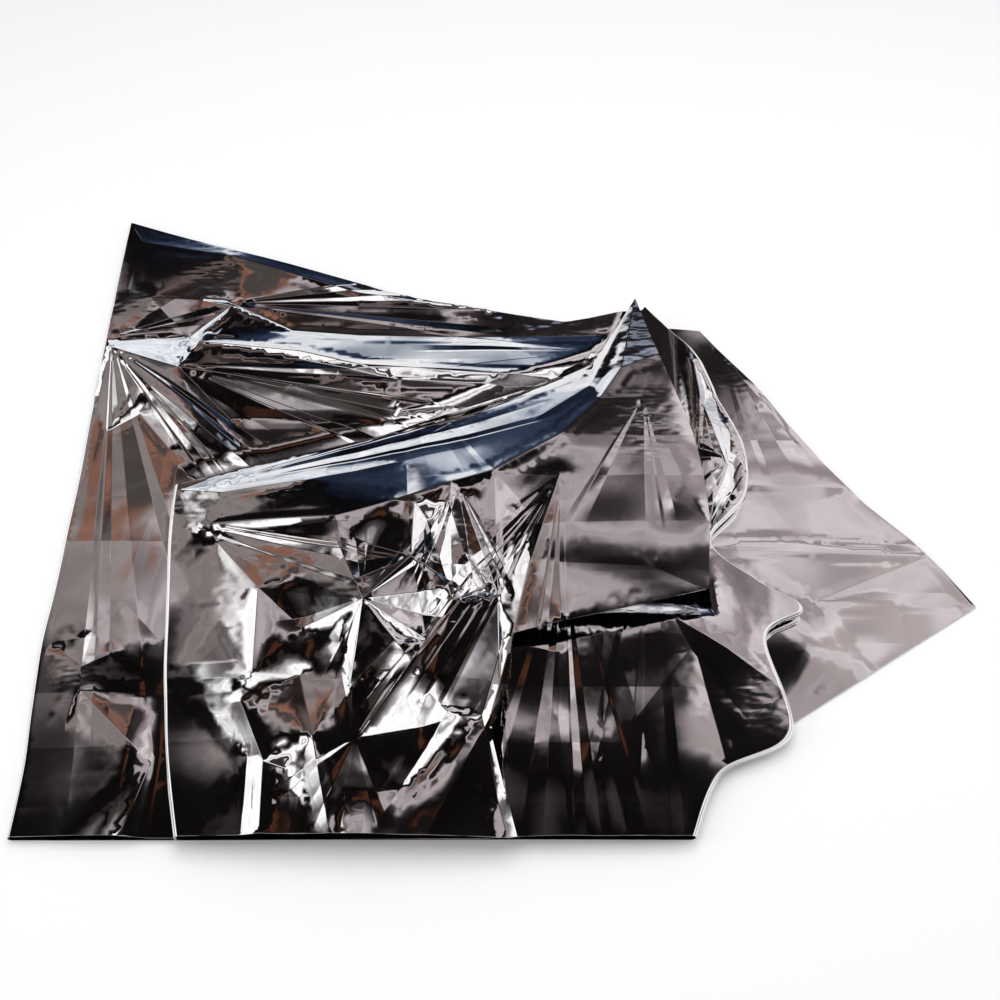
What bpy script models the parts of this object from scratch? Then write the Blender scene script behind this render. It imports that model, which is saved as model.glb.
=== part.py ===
"""Emergency foil blanket, a thin sheet of metallised film lying in four loose layers.

The sheet runs back and forth: out from its lower free edge to a fold on the left, back to a
fold on the right, again to an upper fold on the left, and on to its upper free edge. Each layer
has its own folds, raised over its own level. Tables are in millimetres, the model in metres.
"""
from collections import namedtuple
import math

import bmesh
import bpy

MM = 0.001
NAME = "emergency_foil_blanket"
SHEET_NODE = "foil_sheet"

# The film is far thinner; a solid of it needs a thickness that a mesh can hold.
SHEET_THICKNESS = 1.2
LAYER_PITCH = 8.0
BEND_STEPS = 4
BACK_FADE = 1.6
HIDDEN_FADE = 45.0

# The blanket's own edges and folds seen from above, one row for each station from the front
# to the back. "rows" is how many grid rows lie between a station and the next one.
Station = namedtuple("Station", "rows low_edge left_fold right_fold top_fold cut_edge free_edge")
STATIONS = [Station(*row) for row in (
    (2, (155, -487), (-545, -488), (198, -491), (-357, -495), (9, -500), (150, -495)),
    (3, (242, -403), (-546, -405), (235, -415), (-371, -440), (-6, -440), (160, -440)),
    (3, (350, -332), (-552, -330), (318, -365), (-383, -385), (-20, -375), (190, -360)),
    (2, (460, -260), (-557, -245), (302, -240), (-391, -335), (2, -310), (215, -280)),
    (1, (575, -186), (-556, -180), (352, -198), (-398, -290), (5, -249), (239, -193)),
    (2, (545, -135), (-556, -130), (306, -160), (-402, -255), (9, -215), (244, -150)),
    (2, (510, -85), (-557, -70), (252, -96), (-406, -215), (15, -165), (250, -92)),
    (2, (462, -30), (-558, 5), (302, -25), (-411, -170), (22, -105), (248, -15)),
    (2, (418, 35), (-561, 90), (310, 55), (-416, -130), (31, -40), (238, 60)),
    (3, (385, 95), (-564, 180), (284, 140), (-420, -90), (42, 25), (220, 130)),
    (3, (340, 175), (-566, 300), (250, 233), (-423, -50), (54, 95), (198, 215)),
    (0, (275, 277), (-569, 500), (198, 315), (-424, -14), (66, 163), (181, 298)),
)]
CORNER_STATION = 4
SHARP_SIDES = ("low_edge", "cut_edge")

# The four layers. "sides" are the lines that a layer runs between, "cells" the grid columns
# between them, "crowd" how far the columns crowd towards the side that shows (1 is even), and
# "sag" how far the back edge bows, at shares of its width.
Layer = namedtuple("Layer", "sides cells crowd sag")
LAYERS = (
    Layer(("low_edge", "left_fold"), (16,), 1.5, ((0, 0), (0.45, -62), (1, 0))),
    Layer(("left_fold", "right_fold"), (34,), 1.0, ((0, 0), (0.57, -58), (0.85, -52), (1, 0))),
    Layer(("right_fold", "top_fold"), (15,), 1.4,
          ((0, 0), (0.1, -74), (0.22, -102), (0.5, -94), (0.75, -52), (1, 0))),
    Layer(("top_fold", "cut_edge", "free_edge"), (18, 9), 1.0,
          ((0, 0), (0.33, -14), (0.67, 0), (0.84, -34), (1, 0))),
)
CORNER_COLUMNS = LAYERS[3].cells[1]

# The back rim of the upper layers, from above: what lies in front of it is covered.
BACK_RIM = ((-424, -14), (-270, 33), (-137, 69), (18, 137), (115, 192), (181, 298))

# The main folds. A fold is a ridge from start to end that falls off over "left" and "right" of
# its line, and "rise" is its height over the layer's level at each end.
Fold = namedtuple("Fold", "layer start end left right rise")
FOLDS = [Fold(*row) for row in (
    # Long pleats of the second layer, spreading from the left fold
    (2, (-560, 240), (-330, 60), 42, 36, (4, 12)),
    (2, (-455, 195), (-151, 103), 34, 40, (13, 8)),
    (2, (-448, 262), (-288, 218), 40, 36, (2, 15)),
    (2, (-288, 218), (-10, 168), 74, 36, (15, 25)),
    (2, (-10, 168), (114, 182), 74, 30, (25, 17)),
    (2, (-144, 113), (45, 136), 36, 34, (14, 14)),
    (2, (-531, 330), (-395, 322), 40, 40, (4, 8)),
    (2, (-545, 455), (-212, 345), 42, 40, (4, 7)),
    (2, (-212, 345), (-38, 315), 34, 34, (7, 4)),
    # The strip beside the upper left fold, with its rolled pleats
    (2, (-550, 190), (-506, -128), 36, 36, (4, 5)),
    (2, (-506, -128), (-508, -354), 36, 40, (5, 4)),
    (2, (-508, -354), (-500, -500), 36, 40, (4, 4)),
    (2, (-501, -306), (-405, -401), 40, 36, (2, 11)),
    (2, (-405, -401), (-423, -500), 36, 40, (11, 7)),
    # The third layer beside and below the cut-off corner
    (3, (224, 246), (262, 128), 32, 30, (6, 9)),
    (3, (262, 128), (262, -44), 34, 34, (9, 9)),
    (3, (59, -264), (66, -500), 38, 36, (8, 9)),
    (3, (114, -260), (107, -377), 36, 34, (6, 9)),
    (3, (148, -349), (141, -500), 36, 36, (11, 9)),
    (3, (198, -213), (257, -257), 36, 34, (11, 10)),
    (3, (257, -257), (240, -420), 36, 36, (10, 5)),
    # The lower layer's corner, nearly flat
    (1, (346, 147), (392, 72), 46, 52, (7, 4)),
    (1, (330, -60), (528, -113), 44, 44, (3, 3)),
    (1, (320, -300), (560, -178), 50, 40, (2, 3)),
    # The crest of the top layer, with a short steep back and a long front
    (4, (-385, -86), (-214, -87), 112, 130, (20, 32)),
    (4, (-214, -87), (-70, -37), 124, 190, (32, 36)),
    (4, (-70, -37), (68, 43), 150, 230, (36, 34)),
    (4, (68, 43), (154, 160), 116, 170, (34, 29)),
    (4, (154, 160), (181, 292), 70, 90, (29, 25)),
    # The raised free edge beside the crest, down to the cut-off corner
    (4, (208, 184), (246, -97), 100, 110, (25, 22)),
    (4, (246, -97), (239, -193), 110, 110, (22, 22)),
    (4, (63, -152), (239, -196), 60, 50, (21, 22)),
    # The top layer's pleats in front of the crest
    (4, (-379, -90), (-173, -208), 60, 56, (20, 27)),
    (4, (-173, -208), (-181, -326), 60, 70, (27, 21)),
    (4, (-181, -326), (-169, -386), 60, 70, (21, 16)),
    (4, (-244, -240), (-241, -302), 56, 56, (25, 14)),
    (4, (-295, -303), (-219, -385), 50, 50, (21, 21)),
    (4, (-219, -385), (-243, -508), 48, 48, (21, 12)),
    (4, (-65, -208), (-172, -385), 50, 46, (25, 16)),
    (4, (-10, -208), (-119, -447), 46, 50, (26, 19)),
    (4, (-119, -447), (-151, -508), 46, 46, (19, 19)),
    (4, (-117, -140), (-65, -208), 80, 70, (31, 25)),
    (4, (15, -62), (-20, -240), 110, 90, (32, 20)),
    (4, (-20, -240), (-10, -480), 70, 60, (20, 9)),
    (4, (-344, -215), (-330, -440), 70, 60, (9, 7)),
    (4, (-244, -150), (-191, -257), 70, 70, (22, 19)),
    (4, (67, -3), (-3, -262), 56, 60, (31, 16)),
    (4, (-290, -340), (-270, -504), 46, 40, (12, 16)),
)]


def between(pairs, at):
    """The value at a place along (place, value) pairs, straight between them."""
    for (place, value), (next_place, next_value) in zip(pairs, pairs[1:]):
        if at <= next_place:
            share = (at - place) / (next_place - place)
            return value + (next_value - value) * max(share, 0.0)
    return pairs[-1][1]


def smooth(share):
    share = min(max(share, 0.0), 1.0)
    return share * share * (3.0 - 2.0 * share)


def side_point(side, station, share):
    """A point of an edge or fold line, a share of the way past a station."""
    last = len(STATIONS) - 1
    names = (max(station - 1, 0), station, min(station + 1, last), min(station + 2, last))
    before, start, end, after = (getattr(STATIONS[index], side) for index in names)
    if side in SHARP_SIDES:
        return tuple(a + (b - a) * share for a, b in zip(start, end))
    point = []
    for p0, p1, p2, p3 in zip(before, start, end, after):
        curve = (2 * p0 - 5 * p1 + 4 * p2 - p3, 3 * p1 - p0 - 3 * p2 + p3)
        point.append(p1 + 0.5 * share * (p2 - p0 + share * (curve[0] + share * curve[1])))
    return tuple(point)


def distance_to_fold(fold, x, y):
    """Distance from a fold's line as a share of its width, and the place along it."""
    run = (fold.end[0] - fold.start[0], fold.end[1] - fold.start[1])
    out = (x - fold.start[0], y - fold.start[1])
    length_squared = run[0] ** 2 + run[1] ** 2
    along = min(max((out[0] * run[0] + out[1] * run[1]) / length_squared, 0.0), 1.0)
    offset = math.hypot(out[0] - along * run[0], out[1] - along * run[1])
    on_left = run[0] * out[1] - run[1] * out[0] > 0.0
    return offset / (fold.left if on_left else fold.right), along


def shown(layer, x, y):
    """1 where a layer shows, 0 where one above covers it, with a soft change between."""
    if layer != 2:
        return 1.0
    behind_rim = y - between(BACK_RIM, x)
    beside_fold = -390.0 - x
    return smooth(max(behind_rim, beside_fold) / HIDDEN_FADE)


def height(layer, x, y):
    """Height of a layer's middle surface over the ground."""
    rise = 0.0
    for fold in FOLDS:
        if fold.layer != layer:
            continue
        offset, along = distance_to_fold(fold, x, y)
        if offset < 1.0:
            top = fold.rise[0] + (fold.rise[1] - fold.rise[0]) * along
            rise = max(rise, top * (1.0 - offset))
    level = SHEET_THICKNESS / 2.0 + LAYER_PITCH * (layer - 1)
    return level + rise * shown(layer, x, y)


def grid_rows():
    """Station and share for each grid row, front to back."""
    rows = [(index, step / station.rows)
            for index, station in enumerate(STATIONS)
            for step in range(station.rows)]
    return rows + [(len(STATIONS) - 1, 0.0)]


def layer_point(number, share, station, part):
    """A point of a layer, a share of the way from its first side to its last."""
    layer = LAYERS[number - 1]
    total = sum(layer.cells)
    start = 0
    for index, cells in enumerate(layer.cells):
        if share * total <= start + cells + 1e-6:
            local = (share * total - start) / cells
            a = side_point(layer.sides[index], station, part)
            b = side_point(layer.sides[index + 1], station, part)
            break
        start += cells
    back = ((station + part) / (len(STATIONS) - 1)) ** (BACK_FADE * 2.0)
    x = a[0] + (b[0] - a[0]) * local
    y = a[1] + (b[1] - a[1]) * local + between(layer.sag, share) * back
    return x, y, height(number, x, y)


def bend_point(number, turn, station, part):
    """A point of the rounded fold that joins a layer to the next one."""
    x, y, low = layer_point(number, 1.0, station, part)
    high = layer_point(number + 1, 0.0, station, part)[2]
    outward = -1.0 if number % 2 else 1.0
    radius = (high - low) / 2.0
    angle = math.pi * turn
    return x + outward * radius * math.sin(angle), y, (low + high) / 2.0 - radius * math.cos(angle)


def grid_columns():
    """Layer number, share and whether it is a bend, for each grid column along the sheet."""
    columns = []
    for number, layer in enumerate(LAYERS, start=1):
        total = sum(layer.cells)
        columns += [(number, (step / total) ** layer.crowd, False) for step in range(total + 1)]
        if number < len(LAYERS):
            columns += [(number, step / BEND_STEPS, True) for step in range(1, BEND_STEPS)]
    return columns


def film_material():
    material = bpy.data.materials.new("metallised_film")
    material.use_nodes = True
    shader = material.node_tree.nodes["Principled BSDF"]
    shader.inputs["Base Color"].default_value = (0.78, 0.76, 0.76, 1.0)
    shader.inputs["Metallic"].default_value = 1.0
    shader.inputs["Roughness"].default_value = 0.08
    return material


def foil_sheet(collection):
    columns = grid_columns()
    rows = grid_rows()
    mesh = bmesh.new()
    bmesh.ops.create_grid(mesh, x_segments=len(columns) - 1, y_segments=len(rows) - 1, size=0.5)
    corner_row = sum(station.rows for station in STATIONS[:CORNER_STATION])
    missing = []
    for vertex in mesh.verts:
        column = round((vertex.co.x + 0.5) * (len(columns) - 1))
        row = round((vertex.co.y + 0.5) * (len(rows) - 1))
        if column >= len(columns) - CORNER_COLUMNS and row < corner_row:
            missing.append(vertex)
            continue
        number, share, is_bend = columns[column]
        place = bend_point if is_bend else layer_point
        vertex.co = [size * MM for size in place(number, share, *rows[row])]
    bmesh.ops.delete(mesh, geom=missing, context="VERTS")
    data = bpy.data.meshes.new(SHEET_NODE)
    mesh.to_mesh(data)
    mesh.free()
    data.shade_smooth()
    sheet = bpy.data.objects.new(SHEET_NODE, data)
    collection.objects.link(sheet)
    data.materials.append(film_material())
    solid = sheet.modifiers.new("film_thickness", "SOLIDIFY")
    solid.thickness = SHEET_THICKNESS * MM
    solid.offset = 0.0
    return sheet


def main():
    for item in list(bpy.data.objects):
        bpy.data.objects.remove(item)
    collection = bpy.data.collections.new(NAME)
    bpy.context.scene.collection.children.link(collection)
    foil_sheet(collection)


main()
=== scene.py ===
# %% [markdown]
# An emergency foil blanket is one sheet of polyester film, thinner than a hair, with a coat of
# aluminium that makes it a mirror. Here it lies in four loose layers, folded back and forth.
# A mirror shows only what is around it, so this lesson has two halves: a sheet whose creases
# tilt it many ways, and a studio worth reflecting.

# %% Load the frame
import math
from collections import namedtuple

import bmesh
import bpy
import numpy as np
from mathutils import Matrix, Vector, geometry, kdtree


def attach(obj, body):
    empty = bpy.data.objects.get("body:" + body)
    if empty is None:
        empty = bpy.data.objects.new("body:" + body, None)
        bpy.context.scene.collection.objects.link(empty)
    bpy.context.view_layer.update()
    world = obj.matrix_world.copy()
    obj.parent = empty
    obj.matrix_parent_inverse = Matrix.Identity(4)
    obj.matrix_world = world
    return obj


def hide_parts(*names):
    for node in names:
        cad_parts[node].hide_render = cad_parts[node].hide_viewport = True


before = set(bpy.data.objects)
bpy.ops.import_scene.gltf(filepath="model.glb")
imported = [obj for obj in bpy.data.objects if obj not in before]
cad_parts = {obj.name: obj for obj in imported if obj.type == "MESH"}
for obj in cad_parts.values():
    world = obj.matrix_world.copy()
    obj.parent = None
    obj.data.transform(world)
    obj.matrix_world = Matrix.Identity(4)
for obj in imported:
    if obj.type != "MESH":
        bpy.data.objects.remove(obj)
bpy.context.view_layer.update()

# %% [markdown]
# The photograph looks down at the blanket from its front. The free corner of the sheet is
# square, and it only looks as it does from about 53 degrees above the surface, through a normal
# lens. The camera could be placed by eye, but working it out keeps every later size true.

# %% Camera
MM = 0.001
CAMERA_ELEVATION = math.radians(53.0)
CAMERA_DISTANCE = 1.806
LOOK_AT = Vector((-0.0095, -0.020, 0.0))

camera_data = bpy.data.cameras.new("camera")
camera_data.lens = 50.0
camera_data.sensor_width = 36.0
camera = bpy.data.objects.new("camera", camera_data)
back_and_up = Vector((0.0, -math.cos(CAMERA_ELEVATION), math.sin(CAMERA_ELEVATION)))
camera.location = LOOK_AT + back_and_up * CAMERA_DISTANCE
camera.rotation_euler = (math.pi / 2.0 - CAMERA_ELEVATION, 0.0, 0.0)
bpy.context.scene.collection.objects.link(camera)
bpy.context.scene.camera = camera
print("camera at", tuple(round(size, 3) for size in camera.location))


# %% [markdown]
# Materials and the studio's light are both made of shader nodes. One small function adds a node
# with its settings and links, and another turns a hex colour, as a screen shows it, to the
# linear values that a renderer works in.

# %% Node helper and colours
def linear(hex_colour):
    """An sRGB hex colour as linear red, green, blue and alpha."""
    values = [int(hex_colour[i:i + 2], 16) / 255.0 for i in (1, 3, 5)]
    bent = [v / 12.92 if v <= 0.04045 else ((v + 0.055) / 1.055) ** 2.4 for v in values]
    return (*bent, 1.0)


def add_node(tree, kind, settings=None, **inputs):
    """Adds a node. An input is a value, or the output socket that feeds it."""
    node = tree.nodes.new(kind)
    for name, value in (settings or {}).items():
        setattr(node, name, value)
    for name, value in inputs.items():
        key = int(name[1:]) if name[0] == "i" and name[1:].isdigit() else name.replace("_", " ")
        socket = node.inputs[key]
        if isinstance(value, bpy.types.NodeSocket):
            tree.links.new(value, socket)
        else:
            socket.default_value = value
    return node


def maths(tree, operation, *values, clamp=False):
    """A Math node's output, from values or sockets."""
    inputs = {f"i{index}": value for index, value in enumerate(values)}
    node = add_node(tree, "ShaderNodeMath", {"operation": operation, "use_clamp": clamp}, **inputs)
    return node.outputs[0]


print("mid grey in linear light", round(linear("#808080")[0], 3))

# %% [markdown]
# The surface under the blanket is plain pale paper, much wider than the picture. It is stage,
# not part of the object. Soft boxes light it, and the film doesn't see them: what the film
# reflects is painted in the next step.

# %% Floor and lights
FLOOR_SIZE = 12.0
FLOOR_DROP = 0.0006
PAPER = {"Base Color": linear("#F4F4F5"), "Roughness": 0.9, "Specular IOR Level": 0.0}

bpy.ops.mesh.primitive_plane_add(size=FLOOR_SIZE, location=(0.0, 0.0, -FLOOR_DROP))
floor = bpy.context.object
floor.name = "paper_floor"
paper = bpy.data.materials.new("matt_paper")
paper.use_nodes = True
for name, value in PAPER.items():
    paper.node_tree.nodes["Principled BSDF"].inputs[name].default_value = value
floor.data.materials.append(paper)

SoftBox = namedtuple("SoftBox", "name place size watts")
SOFT_BOXES = (
    SoftBox("overhead_box", (0.0, 0.2, 2.2), 2.0, 26.0),
    SoftBox("left_box", (-2.2, -0.6, 1.3), 1.4, 10.0),
    SoftBox("right_box", (2.2, 0.3, 1.2), 1.2, 8.0),
)
for box in SOFT_BOXES:
    light = bpy.data.lights.new(box.name, "AREA")
    light.energy = box.watts
    light.size = box.size
    lamp = bpy.data.objects.new(box.name, light)
    lamp.location = box.place
    lamp.rotation_euler = (-Vector(box.place)).to_track_quat("-Z", "Y").to_euler()
    lamp.visible_glossy = False
    bpy.context.scene.collection.objects.link(lamp)
print("soft boxes", len(SOFT_BOXES))

# %% [markdown]
# A mirror needs a room. The room is painted on the world by direction, and a direction is two
# angles: how far to the side, and how high, from the back over the top. Bands run all round, from
# the pale back wall through navy and black to a soft box overhead. Patches lie over them: pale
# side walls, two side windows and warm brown things. It could be built of real cards, but
# painted patches are quicker to place.

# %% Tones of the room
BANDS = (
    (-180, "#F2F2F4", 1.0), (6, "#F4F4F6", 1.05), (16, "#E6EAF0", 1.0), (19, "#A4AFC0", 0.9),
    (22, "#3C4A64", 0.8), (30, "#1C2536", 0.8), (36, "#0A0A0D", 0.7), (43, "#1A1616", 0.8),
    (47, "#241F20", 0.9), (53, "#3A3435", 0.9), (54.5, "#9A9092", 1.0), (57, "#C2B8BB", 1.0),
    (58, "#A59B9E", 0.9), (59.2, "#151213", 0.8), (69, "#0B0908", 0.7), (73, "#4A4443", 0.9),
    (77, "#B4B2B6", 1.0), (79, "#FFFFFF", 1.2), (87, "#FFFFFF", 1.1), (90, "#8E8A8C", 1.0),
    (93, "#F2F2F4", 1.0), (98, "#FFFFFF", 1.1), (101, "#4A4646", 0.9), (112, "#2A2626", 0.9),
    (118, "#C4C0C2", 1.0), (124, "#3A3636", 0.9), (146, "#A8A4A6", 1.0), (154, "#353132", 0.9),
    (163, "#8A8688", 0.9), (169, "#D8D6D8", 1.0), (180, "#F2F2F4", 1.0),
)
Patch = namedtuple("Patch", "side height wide high soft colour strength")
PATCHES = [Patch(*row) for row in (
    (-7.5, 43.5, 4, 2, 0.5, "#6E605E", 1.0),
    (-21, 52, 6, 8, 0.4, "#8E8585", 0.9),
    (-14.5, 50.5, 4.5, 3.8, 0.15, "#8C6556", 0.9),
    (-14, 50.8, 2.4, 3.0, 0.2, "#4E4948", 0.9),
    (-17.5, 27, 4.5, 6, 0.2, "#E9EDF5", 1.05),
    (4.5, 39, 2.5, 2, 0.4, "#A9B3C6", 0.9),
    (19, 50, 9.5, 8, 0.12, "#D6CED0", 1.0),
    (17, 60, 4, 4.5, 0.12, "#D6CED0", 1.0),
    (15, 52.5, 9, 1.8, 0.6, "#A0959A", 1.0),
    (15.5, 57.8, 3.5, 1.1, 0.15, "#A89E9F", 1.0),
    (16, 62.5, 4, 1.6, 0.2, "#A89E9F", 1.0),
    (-6, 64.5, 2.5, 1.6, 0.7, "#4E2E20", 0.9),
    (30, 38, 5, 5, 0.6, "#48301F", 0.9),
    (-44, 45, 14, 24, 0.2, "#FFFFFF", 1.15),
    (45, 45, 13, 24, 0.2, "#F6F4F8", 1.1),
    (-16, 118, 14, 6, 0.4, "#F8F8FA", 1.1),
)]
print("bands", len(BANDS), "patches", len(PATCHES))

# %% [markdown]
# In a real room no edge is as straight as these angles, and no wall is one tone. Two sizes of
# noise bend the angles by a few degrees, and streaky noise stands for the clutter on the walls.
# Each flat facet then holds streaks of its own, which is most of what makes foil look like foil.

# %% Angles of the room
BENDS = ((2.2, 5.0), (9.0, 2.2))
CLUTTER_SIDE = 5.0
CLUTTER_HEIGHT = 1.6
CLUTTER_TONES = (0.75, 1.35)
CLUTTER_RANGE = (0.32, 0.68)

world = bpy.data.worlds.new("studio_room")
bpy.context.scene.world = world
world.use_nodes = True
room = world.node_tree
room.nodes.clear()
direction = add_node(room, "ShaderNodeTexCoord").outputs["Generated"]
axes = add_node(room, "ShaderNodeSeparateXYZ", Vector=direction)
degrees = 180.0 / math.pi
side = maths(room, "MULTIPLY", maths(room, "ARCSINE", axes.outputs[0]), degrees)
upward = maths(room, "ARCTAN2", axes.outputs[2], axes.outputs[1])
height = maths(room, "MULTIPLY", upward, degrees)
for scale, reach in BENDS:
    bent = add_node(room, "ShaderNodeTexNoise", Vector=direction, Scale=scale, Detail=1.0)
    shift = add_node(room, "ShaderNodeSeparateXYZ", Vector=bent.outputs["Color"])
    swing = [maths(room, "MULTIPLY", maths(room, "SUBTRACT", shift.outputs[index], 0.5), reach)
             for index in (0, 1)]
    side = maths(room, "ADD", side, swing[0])
    height = maths(room, "ADD", height, swing[1])
print("bends in degrees", [reach for scale, reach in BENDS])

# %% [markdown]
# Now the tones are laid over those angles, the bands as a colour ramp and each patch mixed over
# what is there. Only reflections see this room. The paper is lit by the soft boxes and a plain
# even light, or the room's colours would spill on it.

# %% The room that the film reflects
FILL_LIGHT = 0.62

height_share = add_node(room, "ShaderNodeMapRange", Value=height, From_Min=-180.0, From_Max=180.0)
ramp = add_node(room, "ShaderNodeValToRGB", Fac=height_share.outputs[0])
for index, (angle, colour, strength) in enumerate(BANDS):
    stops = ramp.color_ramp.elements
    stop = stops[index] if index < 2 else stops.new(1.0)
    stop.position = (angle + 180.0) / 360.0
for stop, (angle, colour, strength) in zip(ramp.color_ramp.elements, BANDS):
    stop.color = (*(strength * part for part in linear(colour)[:3]), 1.0)
painted = ramp.outputs[0]
for patch in PATCHES:
    away = maths(room, "SUBTRACT", side, patch.side)
    across = maths(room, "DIVIDE", maths(room, "ABSOLUTE", away), patch.wide)
    over = maths(room, "SUBTRACT", height, patch.height)
    upright = maths(room, "DIVIDE", maths(room, "ABSOLUTE", over), patch.high)
    reach = maths(room, "MAXIMUM", across, upright)
    mask = add_node(room, "ShaderNodeMapRange", {"interpolation_type": "SMOOTHSTEP"}, Value=reach,
                    From_Min=1.0 - patch.soft, From_Max=1.0 + patch.soft, To_Min=1.0, To_Max=0.0)
    colour = (*(patch.strength * part for part in linear(patch.colour)[:3]), 1.0)
    painted = add_node(room, "ShaderNodeMix", {"data_type": "RGBA"}, i0=mask.outputs[0],
                       i6=painted, i7=colour).outputs[2]
grain = add_node(room, "ShaderNodeCombineXYZ", X=maths(room, "DIVIDE", side, CLUTTER_SIDE),
                 Y=maths(room, "DIVIDE", height, CLUTTER_HEIGHT))
clutter = add_node(room, "ShaderNodeTexNoise", Vector=grain.outputs[0], Scale=1.0, Detail=3.0)
tone = add_node(room, "ShaderNodeMapRange", Value=clutter.outputs["Fac"],
                From_Min=CLUTTER_RANGE[0], From_Max=CLUTTER_RANGE[1],
                To_Min=CLUTTER_TONES[0], To_Max=CLUTTER_TONES[1])
reflected = add_node(room, "ShaderNodeBackground", Color=painted, Strength=tone.outputs[0])
plain = add_node(room, "ShaderNodeBackground", Color=linear("#FFFFFF"), Strength=FILL_LIGHT)
rays = add_node(room, "ShaderNodeLightPath")
seen = add_node(room, "ShaderNodeMixShader", i0=rays.outputs["Is Glossy Ray"],
                i1=plain.outputs[0], i2=reflected.outputs[0])
add_node(room, "ShaderNodeOutputWorld", Surface=seen.outputs[0])
bpy.context.scene.view_settings.view_transform = "Standard"
print("room nodes", len(room.nodes))

# %% [markdown]
# The blanket's plan comes next, in millimetres from above: its two free edges and the three
# folds that join its layers, one row for each station from the front to the back. The front is
# a plain cut. Lines run smoothly through the stations, except edges with a square corner.

# %% Plan of the edges and folds
Station = namedtuple("Station", "rows low_edge left_fold right_fold top_fold cut_edge free_edge")
STATIONS = [Station(*row) for row in (
    (16, (155, -487), (-545, -488), (198, -491), (-357, -495), (9, -500), (150, -495)),
    (16, (242, -403), (-546, -405), (235, -415), (-371, -440), (-6, -440), (160, -440)),
    (16, (350, -332), (-552, -330), (318, -365), (-383, -385), (-20, -375), (190, -360)),
    (14, (460, -260), (-557, -245), (302, -240), (-391, -335), (2, -310), (215, -280)),
    (10, (575, -186), (-556, -180), (352, -198), (-398, -290), (5, -249), (239, -193)),
    (12, (545, -135), (-556, -130), (306, -160), (-402, -255), (9, -215), (244, -150)),
    (14, (510, -85), (-557, -70), (252, -96), (-406, -215), (15, -165), (250, -92)),
    (14, (462, -30), (-558, 5), (302, -25), (-411, -170), (22, -105), (248, -15)),
    (15, (418, 35), (-561, 90), (310, 55), (-416, -130), (31, -40), (238, 60)),
    (17, (385, 95), (-564, 180), (284, 140), (-420, -90), (42, 25), (220, 130)),
    (20, (340, 175), (-566, 300), (250, 233), (-423, -50), (54, 95), (198, 215)),
    (0, (275, 277), (-569, 500), (198, 315), (-424, -14), (66, 163), (181, 298)),
)]
CORNER_STATION = 4
SHARP_SIDES = ("low_edge", "cut_edge")
print("stations", len(STATIONS))

# %% [markdown]
# A layer lies between two or three of those lines. Its row gives how many columns lie between
# them, and how far its back edge sags between its corners, in millimetres at shares of its width.

# %% Layers
Layer = namedtuple("Layer", "sides columns sag")
LAYERS = (
    Layer(("low_edge", "left_fold"), (46,), ((0, 0), (0.45, -62), (1, 0))),
    Layer(("left_fold", "right_fold"), (124,),
          ((0, 0), (0.57, -58), (0.85, -52), (1, 0))),
    Layer(("right_fold", "top_fold"), (44,),
          ((0, 0), (0.1, -74), (0.22, -102), (0.5, -94), (0.75, -52), (1, 0))),
    Layer(("top_fold", "cut_edge", "free_edge"), (68, 40),
          ((0, 0), (0.33, -14), (0.67, 0), (0.84, -34), (1, 0))),
)
BACK_FADE = 3.2
print("layers", len(LAYERS))


def side_points(side, station, share):
    """Points of an edge or fold line, each a share of the way past a station."""
    table = np.array([getattr(row, side) for row in STATIONS], dtype=float)
    last = len(table) - 1
    p0, p1, p2, p3 = (table[np.clip(station + step, 0, last)] for step in (-1, 0, 1, 2))
    share = share[:, None]
    if side in SHARP_SIDES:
        return p1 + (p2 - p1) * share
    square, cube = 2 * p0 - 5 * p1 + 4 * p2 - p3, 3 * p1 - p0 - 3 * p2 + p3
    return p1 + 0.5 * share * (p2 - p0 + share * (square + share * cube))


def grid_rows():
    """Station and share of each grid row, front to back."""
    station = [index for index, row in enumerate(STATIONS) for _ in range(row.rows)]
    share = [step / row.rows for row in STATIONS for step in range(row.rows)]
    return np.array(station + [len(STATIONS) - 1]), np.array(share + [0.0])


def layer_plan(layer, shares, station, part):
    """x and y of a layer's points: a grid of rows by shares of its width."""
    places = np.cumsum((0,) + layer.columns) / sum(layer.columns)
    sides = np.array([side_points(side, station, part) for side in layer.sides])
    x = np.array([np.interp(shares, places, sides[:, row, 0]) for row in range(len(part))])
    y = np.array([np.interp(shares, places, sides[:, row, 1]) for row in range(len(part))])
    back = ((station + part) / (len(STATIONS) - 1)) ** BACK_FADE
    sag = np.interp(shares, *zip(*layer.sag))
    return x, y + back[:, None] * sag[None, :]
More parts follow.
